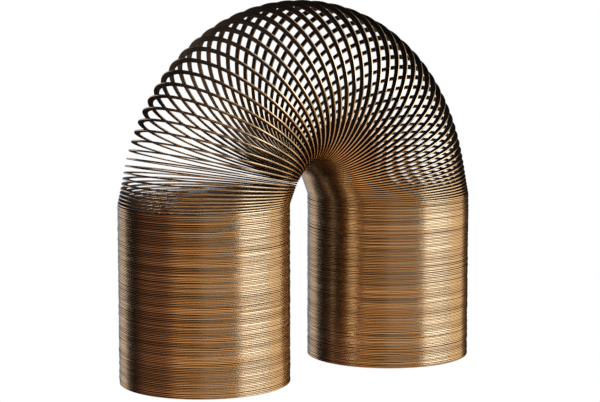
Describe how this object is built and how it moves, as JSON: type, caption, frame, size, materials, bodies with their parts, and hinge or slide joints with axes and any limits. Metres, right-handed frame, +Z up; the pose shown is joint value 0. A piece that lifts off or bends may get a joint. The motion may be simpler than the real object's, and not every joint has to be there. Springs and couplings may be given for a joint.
{
  "type": "spring coil toy",
  "caption": "Desk toy: one long flat-wire spring standing as an arch, its two ends resting as closed upright stacks of turns.",
  "frame": {"origin": "on the surface the toy stands on, below the middle of the gap between its two stacks", "axes": "+X from the left stack to the right stack, +Y from the front to the back, +Z up"},
  "size_m": [0.1618, 0.068, 0.1505],
  "materials": {
    "wire": "drawn flat wire, satin, darkened with age"
  },
  "bodies": {
    "left_stack": {"left_stack": "wire"},
    "arch_turn_01": {"arch_turn_01": "wire"},
    "arch_turn_02": {"arch_turn_02": "wire"},
    "arch_turn_03": {"arch_turn_03": "wire"},
    "arch_turn_04": {"arch_turn_04": "wire"},
    "arch_turn_05": {"arch_turn_05": "wire"},
    "arch_turn_06": {"arch_turn_06": "wire"},
    "arch_turn_07": {"arch_turn_07": "wire"},
    "arch_turn_08": {"arch_turn_08": "wire"},
    "arch_turn_09": {"arch_turn_09": "wire"},
    "arch_turn_10": {"arch_turn_10": "wire"},
    "arch_turn_11": {"arch_turn_11": "wire"},
    "arch_turn_12": {"arch_turn_12": "wire"},
    "arch_turn_13": {"arch_turn_13": "wire"},
    "arch_turn_14": {"arch_turn_14": "wire"},
    "arch_turn_15": {"arch_turn_15": "wire"},
    "arch_turn_16": {"arch_turn_16": "wire"},
    "arch_turn_17": {"arch_turn_17": "wire"},
    "arch_turn_18": {"arch_turn_18": "wire"},
    "arch_turn_19": {"arch_turn_19": "wire"},
    "arch_turn_20": {"arch_turn_20": "wire"},
    "arch_turn_21": {"arch_turn_21": "wire"},
    "arch_turn_22": {"arch_turn_22": "wire"},
    "arch_turn_23": {"arch_turn_23": "wire"},
    "arch_turn_24": {"arch_turn_24": "wire"},
    "arch_turn_25": {"arch_turn_25": "wire"},
    "arch_turn_26": {"arch_turn_26": "wire"},
    "arch_turn_27": {"arch_turn_27": "wire"},
    "arch_turn_28": {"arch_turn_28": "wire"},
    "arch_turn_29": {"arch_turn_29": "wire"},
    "arch_turn_30": {"arch_turn_30": "wire"},
    "arch_turn_31": {"arch_turn_31": "wire"},
    "arch_turn_32": {"arch_turn_32": "wire"},
    "arch_turn_33": {"arch_turn_33": "wire"},
    "arch_turn_34": {"arch_turn_34": "wire"},
    "arch_turn_35": {"arch_turn_35": "wire"},
    "arch_turn_36": {"arch_turn_36": "wire"},
    "arch_turn_37": {"arch_turn_37": "wire"},
    "arch_turn_38": {"arch_turn_38": "wire"},
    "arch_turn_39": {"arch_turn_39": "wire"},
    "arch_turn_40": {"arch_turn_40": "wire"},
    "arch_turn_41": {"arch_turn_41": "wire"},
    "arch_turn_42": {"arch_turn_42": "wire"},
    "arch_turn_43": {"arch_turn_43": "wire"},
    "arch_turn_44": {"arch_turn_44": "wire"},
    "arch_turn_45": {"arch_turn_45": "wire"},
    "arch_turn_46": {"arch_turn_46": "wire"},
    "arch_turn_47": {"arch_turn_47": "wire"},
    "arch_turn_48": {"arch_turn_48": "wire"},
    "arch_turn_49": {"arch_turn_49": "wire"},
    "arch_turn_50": {"arch_turn_50": "wire"},
    "arch_turn_51": {"arch_turn_51": "wire"},
    "arch_turn_52": {"arch_turn_52": "wire"},
    "arch_turn_53": {"arch_turn_53": "wire"},
    "arch_turn_54": {"arch_turn_54": "wire"},
    "arch_turn_55": {"arch_turn_55": "wire"},
    "arch_turn_56": {"arch_turn_56": "wire"},
    "right_stack": {"right_stack": "wire"}
  },
  "joints": [
    {"name": "bend_00", "type": "hinge", "parent": "left_stack", "child": "arch_turn_01", "pos_m": [-0.01412, 0, 0.0714], "axis": [0, -1, 0], "range_deg": [0, 0.2663]},
    {"name": "bend_01", "type": "hinge", "parent": "arch_turn_01", "child": "arch_turn_02", "pos_m": [-0.01382, 0, 0.07206], "axis": [0, -1, 0], "range_deg": [0, 0.5579]},
    {"name": "bend_02", "type": "hinge", "parent": "arch_turn_02", "child": "arch_turn_03", "pos_m": [-0.01351, 0, 0.07272], "axis": [0, -1, 0], "range_deg": [0, 0.6342]},
    {"name": "bend_03", "type": "hinge", "parent": "arch_turn_03", "child": "arch_turn_04", "pos_m": [-0.01319, 0, 0.07337], "axis": [0, -1, 0], "range_deg": [0, 0.7557]},
    {"name": "bend_04", "type": "hinge", "parent": "arch_turn_04", "child": "arch_turn_05", "pos_m": [-0.01286, 0, 0.07403], "axis": [0, -1, 0], "range_deg": [0, 0.9175]},
    {"name": "bend_05", "type": "hinge", "parent": "arch_turn_05", "child": "arch_turn_06", "pos_m": [-0.01251, 0, 0.07468], "axis": [0, -1, 0], "range_deg": [0, 1.11]},
    {"name": "bend_06", "type": "hinge", "parent": "arch_turn_06", "child": "arch_turn_07", "pos_m": [-0.01216, 0, 0.07533], "axis": [0, -1, 0], "range_deg": [0, 1.34]},
    {"name": "bend_07", "type": "hinge", "parent": "arch_turn_07", "child": "arch_turn_08", "pos_m": [-0.01179, 0, 0.07598], "axis": [0, -1, 0], "range_deg": [0, 1.6]},
    {"name": "bend_08", "type": "hinge", "parent": "arch_turn_08", "child": "arch_turn_09", "pos_m": [-0.0114, 0, 0.07662], "axis": [0, -1, 0], "range_deg": [0, 1.87]},
    {"name": "bend_09", "type": "hinge", "parent": "arch_turn_09", "child": "arch_turn_10", "pos_m": [-0.011, 0, 0.07726], "axis": [0, -1, 0], "range_deg": [0, 2.16]},
    {"name": "bend_10", "type": "hinge", "parent": "arch_turn_10", "child": "arch_turn_11", "pos_m": [-0.01057, 0, 0.07789], "axis": [0, -1, 0], "range_deg": [0, 2.47]},
    {"name": "bend_11", "type": "hinge", "parent": "arch_turn_11", "child": "arch_turn_12", "pos_m": [-0.01013, 0, 0.07851], "axis": [0, -1, 0], "range_deg": [0, 2.78]},
    {"name": "bend_12", "type": "hinge", "parent": "arch_turn_12", "child": "arch_turn_13", "pos_m": [-0.00965, 0, 0.07911], "axis": [0, -1, 0], "range_deg": [0, 3.09]},
    {"name": "bend_13", "type": "hinge", "parent": "arch_turn_13", "child": "arch_turn_14", "pos_m": [-0.00915, 0, 0.07969], "axis": [0, -1, 0], "range_deg": [0, 3.4]},
    {"name": "bend_14", "type": "hinge", "parent": "arch_turn_14", "child": "arch_turn_15", "pos_m": [-0.00862, 0, 0.08025], "axis": [0, -1, 0], "range_deg": [0, 3.7]},
    {"name": "bend_15", "type": "hinge", "parent": "arch_turn_15", "child": "arch_turn_16", "pos_m": [-0.00806, 0, 0.08079], "axis": [0, -1, 0], "range_deg": [0, 3.99]},
    {"name": "bend_16", "type": "hinge", "parent": "arch_turn_16", "child": "arch_turn_17", "pos_m": [-0.00747, 0, 0.0813], "axis": [0, -1, 0], "range_deg": [0, 4.26]},
    {"name": "bend_17", "type": "hinge", "parent": "arch_turn_17", "child": "arch_turn_18", "pos_m": [-0.00685, 0, 0.08177], "axis": [0, -1, 0], "range_deg": [0, 4.51]},
    {"name": "bend_18", "type": "hinge", "parent": "arch_turn_18", "child": "arch_turn_19", "pos_m": [-0.0062, 0, 0.0822], "axis": [0, -1, 0], "range_deg": [0, 4.73]},
    {"name": "bend_19", "type": "hinge", "parent": "arch_turn_19", "child": "arch_turn_20", "pos_m": [-0.00552, 0, 0.08259], "axis": [0, -1, 0], "range_deg": [0, 4.93]},
    {"name": "bend_20", "type": "hinge", "parent": "arch_turn_20", "child": "arch_turn_21", "pos_m": [-0.00482, 0, 0.08292], "axis": [0, -1, 0], "range_deg": [0, 5.08]},
    {"name": "bend_21", "type": "hinge", "parent": "arch_turn_21", "child": "arch_turn_22", "pos_m": [-0.00409, 0, 0.08321], "axis": [0, -1, 0], "range_deg": [0, 5.2]},
    {"name": "bend_22", "type": "hinge", "parent": "arch_turn_22", "child": "arch_turn_23", "pos_m": [-0.00334, 0, 0.08345], "axis": [0, -1, 0], "range_deg": [0, 5.26]},
    {"name": "bend_23", "type": "hinge", "parent": "arch_turn_23", "child": "arch_turn_24", "pos_m": [-0.00259, 0, 0.08363], "axis": [0, -1, 0], "range_deg": [0, 5.28]},
    {"name": "bend_24", "type": "hinge", "parent": "arch_turn_24", "child": "arch_turn_25", "pos_m": [-0.00182, 0, 0.08375], "axis": [0, -1, 0], "range_deg": [0, 5.28]},
    {"name": "bend_25", "type": "hinge", "parent": "arch_turn_25", "child": "arch_turn_26", "pos_m": [-0.00105, 0, 0.08381], "axis": [0, -1, 0], "range_deg": [0, 5.28]},
    {"name": "bend_26", "type": "hinge", "parent": "arch_turn_26", "child": "arch_turn_27", "pos_m": [-0.00028, 0, 0.08382], "axis": [0, -1, 0], "range_deg": [0, 5.28]},
    {"name": "bend_27", "type": "hinge", "parent": "arch_turn_27", "child": "arch_turn_28", "pos_m": [0.00048, 0, 0.08378], "axis": [0, -1, 0], "range_deg": [0, 5.28]},
    {"name": "bend_28", "type": "hinge", "parent": "arch_turn_28", "child": "arch_turn_29", "pos_m": [0.00124, 0, 0.08368], "axis": [0, -1, 0], "range_deg": [0, 5.28]},
    {"name": "bend_29", "type": "hinge", "parent": "arch_turn_29", "child": "arch_turn_30", "pos_m": [0.00199, 0, 0.08352], "axis": [0, -1, 0], "range_deg": [0, 5.28]},
    {"name": "bend_30", "type": "hinge", "parent": "arch_turn_30", "child": "arch_turn_31", "pos_m": [0.00272, 0, 0.08332], "axis": [0, -1, 0], "range_deg": [0, 5.28]},
    {"name": "bend_31", "type": "hinge", "parent": "arch_turn_31", "child": "arch_turn_32", "pos_m": [0.00344, 0, 0.08306], "axis": [0, -1, 0], "range_deg": [0, 5.27]},
    {"name": "bend_32", "type": "hinge", "parent": "arch_turn_32", "child": "arch_turn_33", "pos_m": [0.00414, 0, 0.08276], "axis": [0, -1, 0], "range_deg": [0, 5.21]},
    {"name": "bend_33", "type": "hinge", "parent": "arch_turn_33", "child": "arch_turn_34", "pos_m": [0.00481, 0, 0.08241], "axis": [0, -1, 0], "range_deg": [0, 5.12]},
    {"name": "bend_34", "type": "hinge", "parent": "arch_turn_34", "child": "arch_turn_35", "pos_m": [0.00546, 0, 0.08202], "axis": [0, -1, 0], "range_deg": [0, 5]},
    {"name": "bend_35", "type": "hinge", "parent": "arch_turn_35", "child": "arch_turn_36", "pos_m": [0.00607, 0, 0.08159], "axis": [0, -1, 0], "range_deg": [0, 4.84]},
    {"name": "bend_36", "type": "hinge", "parent": "arch_turn_36", "child": "arch_turn_37", "pos_m": [0.00666, 0, 0.08112], "axis": [0, -1, 0], "range_deg": [0, 4.66]},
    {"name": "bend_37", "type": "hinge", "parent": "arch_turn_37", "child": "arch_turn_38", "pos_m": [0.00722, 0, 0.08062], "axis": [0, -1, 0], "range_deg": [0, 4.46]},
    {"name": "bend_38", "type": "hinge", "parent": "arch_turn_38", "child": "arch_turn_39", "pos_m": [0.00775, 0, 0.08009], "axis": [0, -1, 0], "range_deg": [0, 4.23]},
    {"name": "bend_39", "type": "hinge", "parent": "arch_turn_39", "child": "arch_turn_40", "pos_m": [0.00825, 0, 0.07954], "axis": [0, -1, 0], "range_deg": [0, 3.99]},
    {"name": "bend_40", "type": "hinge", "parent": "arch_turn_40", "child": "arch_turn_41", "pos_m": [0.00872, 0, 0.07897], "axis": [0, -1, 0], "range_deg": [0, 3.74]},
    {"name": "bend_41", "type": "hinge", "parent": "arch_turn_41", "child": "arch_turn_42", "pos_m": [0.00916, 0, 0.07838], "axis": [0, -1, 0], "range_deg": [0, 3.47]},
    {"name": "bend_42", "type": "hinge", "parent": "arch_turn_42", "child": "arch_turn_43", "pos_m": [0.00958, 0, 0.07778], "axis": [0, -1, 0], "range_deg": [0, 3.2]},
    {"name": "bend_43", "type": "hinge", "parent": "arch_turn_43", "child": "arch_turn_44", "pos_m": [0.00997, 0, 0.07716], "axis": [0, -1, 0], "range_deg": [0, 2.92]},
    {"name": "bend_44", "type": "hinge", "parent": "arch_turn_44", "child": "arch_turn_45", "pos_m": [0.01035, 0, 0.07654], "axis": [0, -1, 0], "range_deg": [0, 2.65]},
    {"name": "bend_45", "type": "hinge", "parent": "arch_turn_45", "child": "arch_turn_46", "pos_m": [0.01071, 0, 0.0759], "axis": [0, -1, 0], "range_deg": [0, 2.37]},
    {"name": "bend_46", "type": "hinge", "parent": "arch_turn_46", "child": "arch_turn_47", "pos_m": [0.01105, 0, 0.07526], "axis": [0, -1, 0], "range_deg": [0, 2.11]},
    {"name": "bend_47", "type": "hinge", "parent": "arch_turn_47", "child": "arch_turn_48", "pos_m": [0.01138, 0, 0.07462], "axis": [0, -1, 0], "range_deg": [0, 1.85]},
    {"name": "bend_48", "type": "hinge", "parent": "arch_turn_48", "child": "arch_turn_49", "pos_m": [0.0117, 0, 0.07397], "axis": [0, -1, 0], "range_deg": [0, 1.61]},
    {"name": "bend_49", "type": "hinge", "parent": "arch_turn_49", "child": "arch_turn_50", "pos_m": [0.01201, 0, 0.07332], "axis": [0, -1, 0], "range_deg": [0, 1.38]},
    {"name": "bend_50", "type": "hinge", "parent": "arch_turn_50", "child": "arch_turn_51", "pos_m": [0.01232, 0, 0.07267], "axis": [0, -1, 0], "range_deg": [0, 1.17]},
    {"name": "bend_51", "type": "hinge", "parent": "arch_turn_51", "child": "arch_turn_52", "pos_m": [0.01263, 0, 0.07201], "axis": [0, -1, 0], "range_deg": [0, 0.986]},
    {"name": "bend_52", "type": "hinge", "parent": "arch_turn_52", "child": "arch_turn_53", "pos_m": [0.01293, 0, 0.07136], "axis": [0, -1, 0], "range_deg": [0, 0.8271]},
    {"name": "bend_53", "type": "hinge", "parent": "arch_turn_53", "child": "arch_turn_54", "pos_m": [0.01323, 0, 0.07071], "axis": [0, -1, 0], "range_deg": [0, 0.6979]},
    {"name": "bend_54", "type": "hinge", "parent": "arch_turn_54", "child": "arch_turn_55", "pos_m": [0.01353, 0, 0.07005], "axis": [0, -1, 0], "range_deg": [0, 0.6014]},
    {"name": "bend_55", "type": "hinge", "parent": "arch_turn_55", "child": "arch_turn_56", "pos_m": [0.01382, 0, 0.06939], "axis": [0, -1, 0], "range_deg": [0, 0.5412]},
    {"name": "bend_56", "type": "hinge", "parent": "arch_turn_56", "child": "right_stack", "pos_m": [0.01412, 0, 0.06873], "axis": [0, -1, 0], "range_deg": [0, 0.2607]}
  ],
  "couplings": [
    {"joint": "bend_00", "follows": "bend_24", "ratio": 0.050213},
    {"joint": "bend_01", "follows": "bend_24", "ratio": 0.10542},
    {"joint": "bend_02", "follows": "bend_24", "ratio": 0.11987},
    {"joint": "bend_03", "follows": "bend_24", "ratio": 0.14286},
    {"joint": "bend_04", "follows": "bend_24", "ratio": 0.17348},
    {"joint": "bend_05", "follows": "bend_24", "ratio": 0.21084},
    {"joint": "bend_06", "follows": "bend_24", "ratio": 0.25402},
    {"joint": "bend_07", "follows": "bend_24", "ratio": 0.30211},
    {"joint": "bend_08", "follows": "bend_24", "ratio": 0.35422},
    {"joint": "bend_09", "follows": "bend_24", "ratio": 0.40942},
    {"joint": "bend_10", "follows": "bend_24", "ratio": 0.46681},
    {"joint": "bend_11", "follows": "bend_24", "ratio": 0.52549},
    {"joint": "bend_12", "follows": "bend_24", "ratio": 0.58454},
    {"joint": "bend_13", "follows": "bend_24", "ratio": 0.64306},
    {"joint": "bend_14", "follows": "bend_24", "ratio": 0.70015},
    {"joint": "bend_15", "follows": "bend_24", "ratio": 0.75489},
    {"joint": "bend_16", "follows": "bend_24", "ratio": 0.80637},
    {"joint": "bend_17", "follows": "bend_24", "ratio": 0.85369},
    {"joint": "bend_18", "follows": "bend_24", "ratio": 0.89595},
    {"joint": "bend_19", "follows": "bend_24", "ratio": 0.93222},
    {"joint": "bend_20", "follows": "bend_24", "ratio": 0.96162},
    {"joint": "bend_21", "follows": "bend_24", "ratio": 0.98322},
    {"joint": "bend_22", "follows": "bend_24", "ratio": 0.99612},
    {"joint": "bend_23", "follows": "bend_24", "ratio": 0.99994},
    {"joint": "bend_25", "follows": "bend_24", "ratio": 1},
    {"joint": "bend_26", "follows": "bend_24", "ratio": 1},
    {"joint": "bend_27", "follows": "bend_24", "ratio": 1},
    {"joint": "bend_28", "follows": "bend_24", "ratio": 1},
    {"joint": "bend_29", "follows": "bend_24", "ratio": 1},
    {"joint": "bend_30", "follows": "bend_24", "ratio": 0.99995},
    {"joint": "bend_31", "follows": "bend_24", "ratio": 0.99689},
    {"joint": "bend_32", "follows": "bend_24", "ratio": 0.98664},
    {"joint": "bend_33", "follows": "bend_24", "ratio": 0.96945},
    {"joint": "bend_34", "follows": "bend_24", "ratio": 0.94592},
    {"joint": "bend_35", "follows": "bend_24", "ratio": 0.91671},
    {"joint": "bend_36", "follows": "bend_24", "ratio": 0.88242},
    {"joint": "bend_37", "follows": "bend_24", "ratio": 0.84369},
    {"joint": "bend_38", "follows": "bend_24", "ratio": 0.80115},
    {"joint": "bend_39", "follows": "bend_24", "ratio": 0.75542},
    {"joint": "bend_40", "follows": "bend_24", "ratio": 0.70714},
    {"joint": "bend_41", "follows": "bend_24", "ratio": 0.65692},
    {"joint": "bend_42", "follows": "bend_24", "ratio": 0.60539},
    {"joint": "bend_43", "follows": "bend_24", "ratio": 0.55319},
    {"joint": "bend_44", "follows": "bend_24", "ratio": 0.50093},
    {"joint": "bend_45", "follows": "bend_24", "ratio": 0.44926},
    {"joint": "bend_46", "follows": "bend_24", "ratio": 0.39879},
    {"joint": "bend_47", "follows": "bend_24", "ratio": 0.35015},
    {"joint": "bend_48", "follows": "bend_24", "ratio": 0.30397},
    {"joint": "bend_49", "follows": "bend_24", "ratio": 0.26087},
    {"joint": "bend_50", "follows": "bend_24", "ratio": 0.22149},
    {"joint": "bend_51", "follows": "bend_24", "ratio": 0.18645},
    {"joint": "bend_52", "follows": "bend_24", "ratio": 0.15638},
    {"joint": "bend_53", "follows": "bend_24", "ratio": 0.13191},
    {"joint": "bend_54", "follows": "bend_24", "ratio": 0.11366},
    {"joint": "bend_55", "follows": "bend_24", "ratio": 0.10226},
    {"joint": "bend_56", "follows": "bend_24", "ratio": 0.049167}
  ]
}
